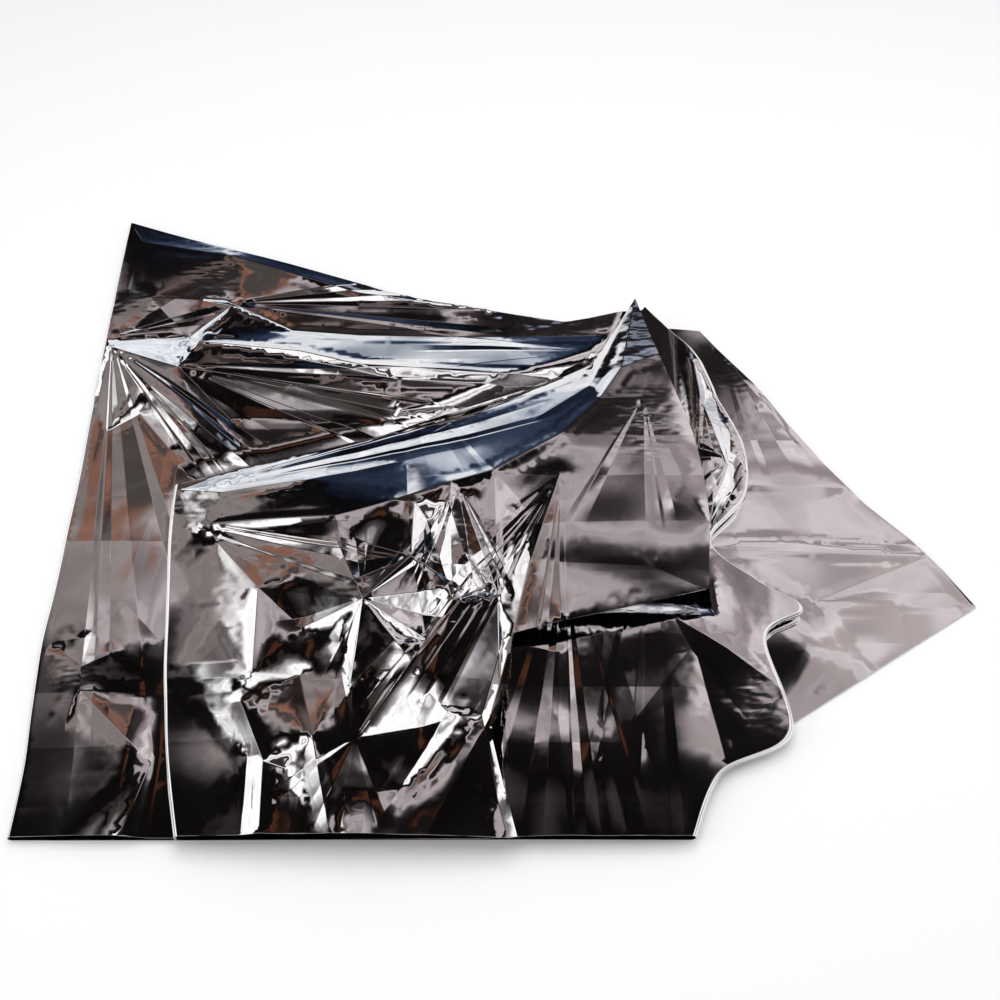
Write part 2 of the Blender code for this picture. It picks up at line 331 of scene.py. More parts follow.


# %% [markdown]
# Now the relief. Film can't stretch, so it breaks into flat facets between straight creases, and creases
# meet in junctions. The main ones are a given net: each junction has a name, its place from above and
# its height, and each crease line names the junctions it runs through. A net of triangles over the
# junctions, forced to follow the lines, is the folded film.

# %% Main creases
Junction = namedtuple("Junction", "name x y height")
JUNCTION_ROWS = {
    4: """
    b0 -420 -24 27, r1 -359 5 27, r2 -271 33 27, r3 -142 69 27, r4 -58 93 27, r5 18 135 28,
    r6 114 186 34, tip 181 296 50, m1 -363 -37 38, m2 -252 -22 46, m3 -138 10 42, m4 -48 35 43,
    m5 37 79 46, m6 111 135 50, c0 -379 -84 34, c2 -214 -87 57, c3 -146 -65 59, c4 -70 -37 61,
    c5 -18 -18 61, c7 68 43 59, c8 122 105 57, c9 154 160 58, d1 -362 -109 31, v4 -301 -184 42,
    hol -267 -138 42, u1 -197 -152 55, v1 -172 -209 56, v2 -117 -147 55, v3 -95 -258 41,
    l1 -116 -68 60, l2 -100 -89 50, l3 -73 -68 60, l4 -56 -62 56, v10 -65 -209 53, v15 -53 -146 58,
    n1 -28 -186 44, v11 -12 -199 52, w1 -344 -215 31, bub -244 -240 46, bu2 -191 -257 41,
    v5 -295 -303 44, v6 -241 -302 37, v7 -219 -384 46, v8 -169 -386 43, x1 -181 -326 46,
    x2 -127 -255 40, v12 -90 -330 51, v13 -69 -354 48, v9 -119 -444 38, y1 -10 -334 41,
    y2 -109 -540 41, lt1 -412 -133 27, lt2 -386 -302 27, lt3 -357 -540 27, li1 -369 -202 28,
    li2 -349 -334 28, li3 -327 -540 28, s1 -305 -338 40, s2 -272 -412 38, s3 -266 -540 37,
    s4 -248 -419 33, s5 -244 -540 38, f1 -182 -540 41, f2 -170 -540 47, f3 -180 -442 40,
    f4 -42 -540 39, e0 5 -252 43, e1 -20 -354 41, e2 -2 -457 39, e3 20 -540 35, e4 62 -230 50,
    e5 158 -206 51, cor 239 -196 52, k1 66 -19 55, k2 118 -10 55, k3 172 40 56, k4 239 48 56,
    k5 246 -97 55, k6 176 107 56, k7 208 184 57, k8 114 -116 52, k9 63 -152 50, k10 173 -160 52,
    k11 27 -145 43, k12 15 -62 56, k13 210 -58 54, h0 -6 -256 39, h1 -30 -353 36, h2 -12 -456 34,
    h3 9 -540 31, s6 -291 -405 33, s7 -287 -540 30
    """,
    2: """
    a0 -567 494 9, a1 -461 463 9, a2 -322 424 9, a3 -215 382 9, a4 -111 340 9, a5 -10 314 9,
    a6 119 299 10, a7 199 319 16, b1 -545 455 12, b2 -410 424 14, b3 -302 379 15, b4 -212 345 15,
    b5 -38 315 12, p1 -552 356 10, p2 -515 333 16, p3 -443 331 14, p4 -403 332 9, p5 -448 260 10,
    p6 -395 317 16, w1 -211 320 11, w2 -41 312 10, q1 -304 274 9, q2 -208 264 9, q3 -10 261 9,
    q4 132 264 9, s1 -431 242 20, s2 -288 221 24, s3 -202 191 29, s4 -10 171 34, s5 114 178 26,
    t1 -288 209 20, t2 -147 167 26, t3 -3 158 27, t4 129 180 22, g1 -144 113 22, g2 -64 126 24,
    g3 45 136 22, k1 -556 239 13, k2 -454 193 22, k3 -488 162 20, r1 -151 103 16, r2 -296 160 22,
    bl1 -374 108 13, bl2 -238 100 13, h1 -411 90 20, h2 -339 27 14, i1 -497 117 10, i2 -537 85 10,
    i3 -447 54 12, n1 -518 -65 11, n2 -457 -60 12, n3 -474 -182 12, n4 -416 -240 12,
    o1 -499 -227 12, o2 -504 -276 12, o3 -509 -354 12, o4 -501 -540 12, o5 -535 -251 9,
    o6 -473 -261 14, x1 -501 -306 10, x2 -405 -401 20, x3 -433 -540 16, x4 -388 -319 9,
    x5 -370 -540 10, l0 -564 257 9, l1 -565 132 9, l2 -557 -43 9, l3 -553 -251 9, l4 -540 -540 9,
    l5 -446 -540 10
    """,
    3: """
    u1 5 -251 25, u2 59 -264 26, u3 114 -230 25, u4 148 -349 25, u5 136 -289 24, u6 198 -213 25,
    u7 274 -353 23, u8 257 -257 25, u9 321 -313 24, ua 69 -540 22, ub 107 -377 24, uc 28 -540 19,
    ud 102 -540 19, ue 139 -540 22, uf 186 -540 19, ug 107 -311 24, uh 25 -375 23, ui 222 -326 24,
    uj 257 -379 22, uk 57 -352 25, ul 216 -258 24, g1 224 246 24, g2 258 198 26, g3 282 142 17,
    g4 262 128 27, g5 303 62 17, g6 268 48 28, g7 290 -20 18, g8 262 -44 27, g9 252 -96 17,
    g0 288 18 24
    """,
    1: """
    f1 303 77 4, f2 389 75 5, f3 311 2 4, f4 444 -5 4, f5 376 -179 2, f6 528 -113 4, f7 571 -185 1,
    f8 251 -99 2, f9 346 147 8, fa 293 238 5, fb 425 -294 2, fc 374 -248 4, fd 283 -373 1,
    fe 347 -84 1
    """,
}
JUNCTIONS = {number: [Junction(name, *map(float, sizes)) for name, *sizes in
                      (row.split() for row in rows.split(","))]
             for number, rows in JUNCTION_ROWS.items()}
CREASE_LINES = {
    4: ("b0 r1 r2 r3 r4 r5 r6 tip", "b0 m1 m2 m3 m4 m5 m6 tip", "b0 c0 c2 c3 c4 c5 c7 c8 c9 tip",
        "c0 d1 v4 v1", "c2 u1 v1", "u1 v2", "c3 l1 v2 v3 v1 v2", "l1 l2 v10", "c4 l3 v10 v3", "l4 v11",
        "l3 v15 n1 v10", "c5 v11", "v4 bub v1", "v4 v5 v6 v7 v8 x1 v1", "v10 v8", "v10 v12 v13 v9",
        "v11 v9 f2", "v7 f1", "v11 y1 y2", "k1 k12 c5", "k1 k11 e0", "k1 k9 e4", "k9 k10 cor",
        "k3 k13 k5", "s1 s2 s3", "s6 s7", "s2 s4 s5", "e0 e1 e2 e3", "h0 h1 h2 h3", "c9 k7", "k3 k6 c8"),
    2: ("a0 a1 a2 a3 a4 a5 a6 a7", "a0 b1 b2 b3 b4 b5", "b1 p1", "p1 p2 p3 p6", "p6 p4 w1 w2",
        "p5 p2", "p5 p6", "p4 q1 q2 q3 q4", "k1 p5 s1 s2 s3 s4 s5", "s2 t1 t2 t3 t4", "k1 k2 r2 r1",
        "k2 bl1", "r1 g1 g2 g3", "k1 k3 h1 h2", "k1 i2", "i2 i1 i3", "i2 n1 o1 o2 o3 o4", "o5 o2 o6",
        "n4 n3 n2", "x1 x2 x3", "l0 l1 l2 l3 l4"),
    3: ("g1 g2 g4 g6 g8 g9", "g3 g0 g7", "g4 g0 g8", "u1 u2 uk ua", "u3 ub", "u5 u4 ue", "u4 ul",
        "u6 ul u7", "u8 u9 uj", "u6 u8", "ub ue"),
    1: ("f1 f2", "f3 f4", "f8 f6", "f5 f6 f7", "f9 fa"),
}
print("junctions", sum(len(rows) for rows in JUNCTIONS.values()))

# %% [markdown]
# The net is filled by a Delaunay triangulation, which joins near points and keeps the triangles
# plump. Between its three corners each triangle is flat, so a height anywhere is read straight
# from the triangle above it. Blender could cast rays on a mesh instead, but sums on whole lists
# of points are quicker.

# %% Nets of flat facets
Net = namedtuple("Net", "corners levels triangles")


def crease_net(spots, heights, lines=()):
    """A net of flat triangles over spots, with edges along the lines."""
    net = geometry.delaunay_2d_cdt([Vector(spot) for spot in spots], lines, [], 0, 0.001)
    corners = np.array([tuple(corner) for corner in net[0]])
    levels = np.array([heights[source[0]] if source else np.nan for source in net[3]])
    for lost in np.flatnonzero(np.isnan(levels)):
        gaps = np.hypot(*(np.array(spots) - corners[lost]).T)
        near = np.argsort(gaps)[:2]
        levels[lost] = np.average(np.array(heights)[near], weights=1.0 / gaps[near])
    return Net(corners, levels, net[2])


def net_height(net, x, y):
    """Height of a net at points x and y."""
    height = np.zeros(x.size)
    order = np.argsort(x)
    sorted_x = x[order]
    for i, j, k in net.triangles:
        a, b, c = net.corners[i], net.corners[j], net.corners[k]
        first, last = np.searchsorted(sorted_x, (min(a[0], b[0], c[0]), max(a[0], b[0], c[0])))
        some = order[first:last]
        out_x, out_y = x[some] - a[0], y[some] - a[1]
        area = (b[0] - a[0]) * (c[1] - a[1]) - (c[0] - a[0]) * (b[1] - a[1])
        u = (out_x * (c[1] - a[1]) - out_y * (c[0] - a[0])) / area
        v = (out_y * (b[0] - a[0]) - out_x * (b[1] - a[1])) / area
        inside = (u >= -1e-6) & (v >= -1e-6) & (u + v <= 1.0 + 1e-6)
        levels = net.levels[i] * (1.0 - u - v) + net.levels[j] * u + net.levels[k] * v
        height[some[inside]] = levels[inside]
    return height


def soft_height(net, x, y, radius):
    """A net's height with its corners rounded off."""
    turns = np.arange(6) * math.pi / 3.0
    ring = sum(net_height(net, x + radius * math.cos(turn), y + radius * math.sin(turn))
               for turn in turns)
    return (ring + net_height(net, x, y)) / 7.0


print("facets on three corners", len(crease_net(((0, 0), (1, 0), (0, 1)), (0, 0, 0)).triangles))

# %% [markdown]
# The main creases are lines too: the mesh has to follow them, and they must know how far away a
# point is, because the film is sharp at a crease and soft further off.

# %% Crease lines and distances
def gaps_to(points, x, y):
    """Distance of each point to the nearest of some others."""
    tree = kdtree.KDTree(len(points))
    for index, point in enumerate(points):
        tree.insert((point[0], point[1], 0.0), index)
    tree.balance()
    return np.array([tree.find((a, b, 0.0))[2] for a, b in zip(x, y)])


def resample(line, step):
    """A line's points with others between them, a step apart or less."""
    parts = [np.linspace(a, b, max(1, math.ceil(math.dist(a, b) / step)), endpoint=False)
             for a, b in zip(line[:-1], line[1:])]
    return np.concatenate(parts + [np.array(line[-1:])])


def crease_ends(number):
    """Names of the two junctions of each stretch of a layer's crease lines."""
    return [ends for line in CREASE_LINES[number] for ends in zip(line.split(), line.split()[1:])]


def main_creases(number):
    """Start and end of each stretch of a layer's crease lines."""
    places = {row.name: (row.x, row.y) for row in JUNCTIONS[number]}
    return [(places[a], places[b]) for a, b in crease_ends(number)]


print("stretches of crease", sum(len(crease_ends(number)) for number in CREASE_LINES))


# %% [markdown]
# Each layer lies a step above the one under it, and the junctions' heights are counted from
# there. Where other layers cover it, a layer is flat, so that they never cross.

# %% Levels and covered parts
FILM_THICKNESS = 0.4
LAYER_PITCH = 8.0
FAR = 900.0
BACK_RIM = ((-424, -14), (-270, 33), (-137, 69), (18, 137), (115, 192), (181, 298))
COVER_FADE = {1: 90.0, 2: 45.0, 3: 30.0}
LOWEST_FROM_X = 150.0
SECOND_TO_X = -392.0
THIRD_FROM_X = (-30.0, 225.0)
THIRD_TO_Y = -185.0


def main_net(number):
    """A layer's listed net, its heights over the layer's own level."""
    rows = JUNCTIONS[number]
    spots = [(row.x, row.y) for row in rows] + [(a, b) for a in (-FAR, FAR) for b in (-FAR, FAR)]
    heights = [row.height - layer_level(number) for row in rows] + [0.0] * 4
    names = [row.name for row in rows]
    lines = [(names.index(a), names.index(b)) for a, b in crease_ends(number)]
    return crease_net(spots, heights, lines)


def layer_level(number):
    return FILM_THICKNESS / 2.0 + LAYER_PITCH * (number - 1)


def smooth(share):
    share = np.clip(share, 0.0, 1.0)
    return share * share * (3.0 - 2.0 * share)


def shown_part(number, x, y):
    """1 where a layer shows, falling to 0 where the layers above cover it."""
    if number == 1:
        past = x - LOWEST_FROM_X
    elif number == 2:
        past = np.maximum(y - np.interp(x, *zip(*BACK_RIM)), SECOND_TO_X - x)
    elif number == 3:
        front = np.minimum(x - THIRD_FROM_X[0], THIRD_TO_Y - y)
        past = np.maximum(front, x - THIRD_FROM_X[1])
    else:
        return np.ones_like(x)
    return smooth(past / COVER_FADE[number])


print("levels", [layer_level(number) for number in sorted(JUNCTIONS)])

# %% [markdown]
# Between the main folds the film has many small facets from having been packed, pulled out and
# crumpled, and long soft bulges where it is slack. Points scattered over the sheet, joined into
# triangles and moved up or down a little, give the facets, and a few long waves give the bulges.
# A fixed seed keeps them the same every time.

# %% Small facets and bulges
FACET_PITCH = 96.0
FACET_RISE = {1: 0.2, 2: 1.0, 3: 1.0, 4: 1.0}
FACET_SEED = 11
BELLIES = 6
BELLY_LENGTHS = (110.0, 260.0)
BELLY_SLOPE = {1: 0.011, 2: 0.008, 3: 0.010, 4: 0.010}
print("small facets about", FACET_PITCH, "mm across")


def facet_net(number):
    """A net of random flat triangles."""
    random = np.random.default_rng(FACET_SEED + number)
    low, high = np.array((-680.0, -620.0)), np.array((700.0, 640.0))
    counts = np.ceil((high - low) / FACET_PITCH).astype(int)
    spots = np.stack(np.meshgrid(*(np.arange(count) for count in counts)), axis=-1).reshape(-1, 2)
    spots = low + (spots + random.uniform(0.08, 0.92, spots.shape)) * FACET_PITCH
    rise = FACET_RISE[number]
    return crease_net(spots, random.uniform(-rise, rise, len(spots)))


def bellies(number, x, y):
    """Soft bulges, as film has between its creases."""
    random = np.random.default_rng(number)
    height = np.zeros(x.size)
    for length, turn, start in zip(random.uniform(*BELLY_LENGTHS, BELLIES),
                                   random.uniform(0.0, math.pi, BELLIES),
                                   random.uniform(0.0, 2.0 * math.pi, BELLIES)):
        along = (x * math.cos(turn) + y * math.sin(turn)) * 2.0 * math.pi / length
        height += np.sin(along + start) * length * BELLY_SLOPE[number] / (2.0 * math.pi)
    return height


# %% [markdown]
# Where film is pinched to a point, creases run out from that point like the ribs of a fan, and
# the film between two ribs is flat. A row gives the point, the way the fan opens, how wide and
# how long it is, how many ribs it has and how steep they are.

# %% Fans of creases
Fan = namedtuple("Fan", "layer apex toward spread reach ribs slope seed")
FANS = [Fan(*row) for row in (
    (2, (-462, 196), -12, 30, 460, 13, 0.24, 1),
    (2, (-560, 245), -45, 24, 330, 10, 0.34, 2),
    (2, (-556, 250), -80, 40, 760, 11, 0.08, 3),
    (2, (-412, 330), 0, 22, 460, 8, 0.22, 4),
    (2, (-560, 262), 22, 60, 170, 8, 0.22, 5),
    (2, (120, 230), 176, 34, 260, 9, 0.20, 6),
    (4, (-420, -74), -21, 18, 300, 9, 0.30, 7),
    (4, (70, -14), -112, 44, 440, 15, 0.18, 8),
    (4, (-172, -209), -90, 360, 110, 13, 0.20, 9),
    (4, (-117, -147), 90, 360, 84, 11, 0.26, 10),
    (4, (-172, -386), 60, 360, 120, 12, 0.24, 11),
    (4, (-62, -40), -92, 60, 190, 9, 0.34, 12),
    (4, (-262, -680), 92, 20, 330, 7, 0.08, 14),
    (4, (180, 110), -96, 46, 240, 8, 0.12, 15),
    (4, (-150, 230), -96, 90, 320, 12, 0.07, 16),
    (4, (-436, -44), 19, 13, 560, 11, 0.16, 21),
    (4, (196, 300), -146, 12, 520, 8, 0.14, 22),
    (3, (236, -112), 76, 44, 300, 9, 0.30, 23),
    (3, (290, 30), 180, 200, 90, 11, 0.20, 24),
    (3, (185, -20), -93, 34, 640, 8, 0.06, 17),
    (3, (70, -110), -92, 30, 460, 8, 0.16, 18),
    (1, (300, 250), -60, 50, 260, 6, 0.05, 20),
)]
FAN_START = 12.0
FAN_FADE = 0.45


def fan_ribs(fan):
    """Angles of a fan's ribs and how steep each one is."""
    random = np.random.default_rng(fan.seed)
    half = math.radians(fan.spread) / 2.0
    ribs = np.sort(np.concatenate((random.uniform(-half, half, fan.ribs), (-half, half))))
    gaps = np.diff(ribs)
    sides = np.where(np.arange(len(ribs)) % 2 == 0, -1.0, 1.0)
    sizes = np.minimum(np.append(gaps, gaps[-1]), np.append(gaps[0], gaps)) / 2.0
    tops = sides * sizes * fan.slope * random.uniform(0.5, 1.2, len(ribs))
    tops[[0, -1]] = 0.0
    return ribs, tops


def fan_height(fan, x, y):
    """Ribs running out from a point: height grows with distance, then fades."""
    ribs, tops = fan_ribs(fan)
    angle = np.arctan2(y - fan.apex[1], x - fan.apex[0]) - math.radians(fan.toward)
    angle = (angle + np.pi) % (2.0 * np.pi) - np.pi
    away = np.hypot(x - fan.apex[0], y - fan.apex[1])
    window = smooth(away / FAN_START) * smooth((fan.reach - away) / (FAN_FADE * fan.reach))
    return np.interp(angle, ribs, tops, left=0.0, right=0.0) * away * window


print("fans", len(FANS), "ribs", sum(fan.ribs for fan in FANS))

# %% [markdown]
# A layer's height is the sum of all this: its net, sharp near a main crease and rounded between
# them, then small facets, bulges and fans. The lowest it may dip keeps it off the layer below.

# %% Heights of a whole layer
DIP = {1: 0.0, 2: -3.0, 3: -3.0, 4: -3.0}
SOFT_RADIUS = 20.0
SHARP_REACH = (3.0, 24.0)
NETS = {number: (main_net(number), facet_net(number)) for number in JUNCTIONS}


def layer_height(number, x, y):
    """Height over the ground of a layer's middle surface."""
    main, loose = NETS[number]
    sharp = net_height(main, x, y)
    soft = soft_height(main, x, y, SOFT_RADIUS)
    lines = np.vstack([resample(np.array(run), 3.0) for run in main_creases(number)])
    near = 1.0 - smooth((gaps_to(lines, x, y) - SHARP_REACH[0]) / (SHARP_REACH[1] - SHARP_REACH[0]))
    rise = soft + near * (sharp - soft) + soft_height(loose, x, y, SOFT_RADIUS)
    rise = rise + bellies(number, x, y)
    rise = rise + sum(fan_height(fan, x, y) for fan in FANS if fan.layer == number)
    return layer_level(number) + np.maximum(rise, DIP[number]) * shown_part(number, x, y)


print("highest junction over its layer", max(main.levels.max() for main, loose in NETS.values()))

# %% [markdown]
# The blanket was sold folded small, and its packing creases still show as faint straight lines
# that cross the sheet both ways. They follow the sheet, not the floor, so every point gets its
# place along and across the whole sheet, counted through all four layers.

# %% Places on the sheet
PACKED_LENGTH = 95.0
PACKED_WIDTH = 72.0
PACKED_RISE = 0.8
PACKED_SEED = 3.0
SHEET_SIDE = 670.0
SHEET_RUN = {1: (575.0, -1.0), 2: (1687.0, 1.0), 3: (2247.0, -1.0), 4: (3047.0, 1.0)}
SHEET_LENGTH = 3800.0


def sheet_place(number, x, y):
    """Place along and across the sheet."""
    first, way = SHEET_RUN[number]
    return first + way * x, SHEET_SIDE + y


print("packing creases every", PACKED_LENGTH, "and", PACKED_WIDTH, "mm")

# %% [markdown]
# The mesh must have its own edges on the creases, or they blur. Each layer is a flat outline
# filled with triangles: the creases go in first, as lines the triangles must follow, a main
# crease as two lines close together so that it gets a narrow rounded back. Loose points fill the
# rest, close together where the film shows and far apart where it is covered.

# %% Straight creases of a layer
CREASE_HALF_WIDTH = 0.8
RIB_GAP = 2.5


def crease_runs(number):
    """Start and end of each straight crease of a layer."""
    lines = main_creases(number)
    for fan in FANS:
        if fan.layer == number:
            apex = np.array(fan.apex)
            start = max(FAN_START, RIB_GAP * fan.ribs / math.radians(fan.spread))
            for rib in fan_ribs(fan)[0] + math.radians(fan.toward):
                ray = np.array((math.cos(rib), math.sin(rib)))
                lines.append((apex + ray * start, apex + ray * fan.reach))
    first, way = SHEET_RUN[number]
    for k in range(round(SHEET_LENGTH / PACKED_LENGTH)):
        x = (k * PACKED_LENGTH - first) * way
        lines.append(((x, -FAR), (x, FAR)))
    for k in range(round(2.0 * SHEET_SIDE / PACKED_WIDTH)):
        y = k * PACKED_WIDTH - SHEET_SIDE
        lines.append(((-FAR, y), (FAR, y)))
    runs = []
    for start, end in lines:
        across = np.array((start[1] - end[1], end[0] - start[0])) / math.dist(start, end)
        across *= CREASE_HALF_WIDTH
        runs += [(start - across, end - across), (start + across, end + across)]
    return runs


print("straight creases", {number: len(crease_runs(number)) // 2 for number in sorted(SHEET_RUN)})

# %% [markdown]
# Filling an outline by hand would take as many points as the film has facets. Blender's own
# triangulation takes the outline, the creases and the loose points at once and returns the
# triangles, of which those outside the outline are dropped.

# %% Triangles of a layer
CREASE_STEP = 9.0
EDGE_STEP = 2.0
EDGE_MARGIN = 4.0
POINT_PITCH = 7.5
COVERED_PITCH = 30.0
CLEAR_SHARE = 0.4
REACH_X = 640.0
REACH_Y = 520.0


def inside(outline, x, y):
    """Whether points lie inside a closed outline."""
    crossed = np.zeros(x.size, dtype=bool)
    for (x0, y0), (x1, y1) in zip(outline, np.roll(outline, -1, axis=0)):
        if y0 != y1:
            crossed ^= ((y0 > y) != (y1 > y)) & (x < x0 + (y - y0) * (x1 - x0) / (y1 - y0))
    return crossed


def layer_triangles(number, outline):
    """Plan points and triangles of a layer. The outline's own points come first."""
    rim = resample(np.vstack((outline, outline[:1])), EDGE_STEP)
    runs = [resample(np.array(run), CREASE_STEP) for run in crease_runs(number)]
    run_of = np.repeat(np.arange(len(runs)), [len(run) for run in runs])
    spots = np.concatenate(runs)
    good = (shown_part(number, *spots.T) > 0.0) & inside(outline, *spots.T)
    good &= gaps_to(rim, *spots.T) > EDGE_MARGIN
    joined = np.flatnonzero(good[:-1] & good[1:] & (run_of[:-1] == run_of[1:]))
    place = np.cumsum(good) - 1 + len(outline)
    lines = [(place[k], place[k + 1]) for k in joined]
    creases = spots[good]
    loose = []
    for pitch, wanted in ((POINT_PITCH, 1), (COVERED_PITCH, 0)):
        row_pitch = pitch * math.sqrt(0.75)
        x, y = np.meshgrid(np.arange(-REACH_X, REACH_X, pitch), np.arange(-REACH_Y, REACH_Y, row_pitch))
        x[1::2] += pitch / 2.0
        x, y = x.ravel(), y.ravel()
        keep = ((shown_part(number, x, y) > 0.0) == wanted) & inside(outline, x, y)
        x, y = x[keep], y[keep]
        clear = gaps_to(np.vstack((rim, creases)), x, y) > CLEAR_SHARE * pitch
        loose.append(np.stack((x[clear], y[clear]), axis=1))
    spots = np.vstack([outline, creases] + loose)
    ring = [(k, (k + 1) % len(outline)) for k in range(len(outline))]
    filled = geometry.delaunay_2d_cdt([Vector(spot) for spot in spots], ring + lines, [], 0, 0.01)
    points = np.array([tuple(corner) for corner in filled[0]])
    triangles = np.array(filled[2])
    middle = points[triangles].mean(axis=1)
    triangles = triangles[inside(outline, *middle.T)]
    place = {source: index for index, sources in enumerate(filled[3]) for source in sources}
    return points, triangles, [place[k] for k in range(len(outline))]


print("loose points every", POINT_PITCH, "mm, and where covered every", COVERED_PITCH)

# %% [markdown]
# Here and there the film is crushed much finer than its mesh, as at the knots where pleats meet.
# A row gives such a spot and how strong it is. The amount is stored on the mesh, and the material turns
# it into fine wrinkles, rougher reflections and a darker colour that is painted shade.

# %% Crushed spots
Crush = namedtuple("Crush", "layer spot radius amount")
CRUSHES = [Crush(*row) for row in (
    (4, (180, 66), 70, 1.0),
    (4, (184, 245), 95, 0.9),
    (4, (120, 185), 60, 0.5),
    (4, (-398, -58), 42, 0.9),
    (4, (-60, -120), 60, 0.5),
    (4, (-190, -190), 45, 0.4),
    (2, (-535, 322), 46, 0.9),
    (2, (-505, -285), 40, 0.6),
    (2, (-430, 392), 70, 0.5),
    (2, (60, 300), 90, 0.6),
    (3, (285, 90), 80, 0.7),
    (3, (285, -330), 60, 0.7),
    (1, (330, 200), 60, 0.4),
)]


def crinkle(number, x, y):
    """How finely crushed a layer is at its points, from 0 to 1."""
    amount = np.zeros(x.size)
    for crush in CRUSHES:
        if crush.layer == number:
            away = np.hypot(x - crush.spot[0], y - crush.spot[1])
            amount = np.maximum(amount, crush.amount * smooth(1.0 - away / crush.radius))
    return amount


print("crushed spots", len(CRUSHES))

# %% [markdown]
# A mirror shows every error in the way its surface faces, so that isn't left to the mesh. Each
# point's facing is worked out from the heights a little to each side of it.

# %% The way a layer faces
TILT_STEP = 0.5


def layer_tilts(number, x, y):
    """Direction that a layer faces at its points, from how its height changes around them."""
    slope_x = layer_height(number, x + TILT_STEP, y) - layer_height(number, x - TILT_STEP, y)
    slope_y = layer_height(number, x, y + TILT_STEP) - layer_height(number, x, y - TILT_STEP)
    facing = np.stack((-slope_x, -slope_y, np.full(x.size, 2.0 * TILT_STEP)), axis=1)
    return facing / np.linalg.norm(facing, axis=1)[:, None]


print("slopes are measured over", 2.0 * TILT_STEP, "mm")

# %% [markdown]
# A layer's outline is its two sides, its back edge and the plain cut at the front. The top layer
# has a step in it, where its free edge turns a square corner.

# %% Outline of a layer
FRONT_STEP = 9.0
station, part = grid_rows()
corner_row = sum(row.rows for row in STATIONS[:CORNER_STATION])


def layer_outline(layer):
    """Outline of a layer, from its front left corner round by the back, and its right side."""
    total = sum(layer.columns)
    plan = np.stack(layer_plan(layer, np.arange(total + 1) / total, station, part), axis=-1)
    right, front = plan[:, -1], plan[0]
    if len(layer.sides) == 3:
        step = layer.columns[0]
        right = np.vstack((plan[:corner_row, step], plan[corner_row, step:-1], plan[corner_row:, -1]))
        front = plan[0, :step + 1]
    front = resample(front[[0, -1]], FRONT_STEP)
    return np.vstack((plan[:, 0], plan[-1, 1:-1], right[::-1], front[-2:0:-1])), right


print("rows from front to back", len(station))

# %% [markdown]
# The layers are filled one after another and joined by their folds, which are narrow half-round
# bends along the whole of each fold line. Every point keeps its facing, its place on the sheet,
# which way the sheet runs there and how crushed it is.

# %% The sheet's points and faces
BEND_STEPS = 6
points, faces, facing, sheet, ways, crushed = [], [], [], [], [], []


def add_bend(low_side, high_side, outward):
    """A half-round bend from one layer's side to the next layer's side."""
    rows = [low_side]
    for turn in np.linspace(0.0, math.pi, BEND_STEPS + 1)[1:-1]:
        rows.append(list(range(len(points), len(points) + len(low_side))))
        for low, high in zip(low_side, high_side):
            (x, y, low_z), high_z = points[low], points[high][2]
            radius = (high_z - low_z) / 2.0
            points.append((x + outward * radius * math.sin(turn), y,
                           low_z + radius - radius * math.cos(turn)))
            facing.append((outward * math.sin(turn), 0.0, -math.cos(turn)))
            sheet.append((*sheet[low][:2], 0.0))
            ways.append(1.0)
            crushed.append(0.0)
    rows.append(high_side)
    for near, far in zip(rows, rows[1:]):
        faces.extend((near[k], far[k], far[k + 1], near[k + 1]) for k in range(len(near) - 1))


last_fold = None
for number, layer in enumerate(LAYERS, start=1):
    outline, right = layer_outline(layer)
    spots, triangles, ring = layer_triangles(number, outline)
    first = len(points)
    ring = [first + k for k in ring]
    points += [(*spot, level) for spot, level in zip(spots, layer_height(number, *spots.T))]
    facing += [tuple(row) for row in layer_tilts(number, *spots.T)]
    sheet += list(zip(*sheet_place(number, *spots.T), shown_part(number, *spots.T)))
    ways += [SHEET_RUN[number][1]] * len(spots)
    crushed += list(crinkle(number, *spots.T))
    faces += [tuple(int(corner) + first for corner in face) for face in triangles]
    last_column = sum(layer.columns)
    if last_fold:
        add_bend(last_fold, ring[:len(station)], 1.0 if number % 2 else -1.0)
    back = len(station) + last_column - 1
    last_fold = ring[back:back + len(right)][::-1]
    print("layer", number, "points", len(spots), "triangles", len(triangles))

# %% [markdown]
# The lists become one mesh, still without thickness. The places on the sheet go in twice: as
# texture coordinates in metres, and as an attribute that Geometry Nodes can read.

# %% The sheet's mesh
def read_all(items, name, kind=float, width=1):
    """One property of all items of a mesh, as an array."""
    values = np.zeros(width * len(items), dtype=kind)
    items.foreach_get(name, values)
    return values.reshape(-1, width) if width > 1 else values


film_mesh = bpy.data.meshes.new("foil_film")
film_mesh.from_pydata([(x * MM, y * MM, z * MM) for x, y, z in points], [], faces)
film_mesh.validate()
cleaner = bmesh.new()
cleaner.from_mesh(film_mesh)
bmesh.ops.recalc_face_normals(cleaner, faces=cleaner.faces)
cleaner.to_mesh(film_mesh)
cleaner.free()
film_mesh.shade_smooth()
uv_layer = film_mesh.uv_layers.new(name="sheet_metres")
corners = read_all(film_mesh.loops, "vertex_index", int)
uv_layer.data.foreach_set("uv", (np.array(sheet)[corners][:, :2] * MM).ravel())
places = film_mesh.attributes.new("sheet_place", "FLOAT_VECTOR", "POINT")
places.data.foreach_set("vector", (np.array(sheet) * (MM, MM, 1.0)).ravel())
crinkles = film_mesh.attributes.new("crinkle", "FLOAT", "POINT")
crinkles.data.foreach_set("value", crushed)
film = bpy.data.objects.new("foil_film", film_mesh)
bpy.context.scene.collection.objects.link(film)

# %% [markdown]
# The film's material is polyester coated with aluminium. It is a metal to the eye: all its colour is in
# its reflections, which are sharp and a little grey. Handling leaves a faint haze in patches, which
# greys and roughens the coating. Crushed spots are duller, because each of their wrinkles points another
# way: they are rougher, and their colour is painted darker, a painted shade for the shade between those
# wrinkles.

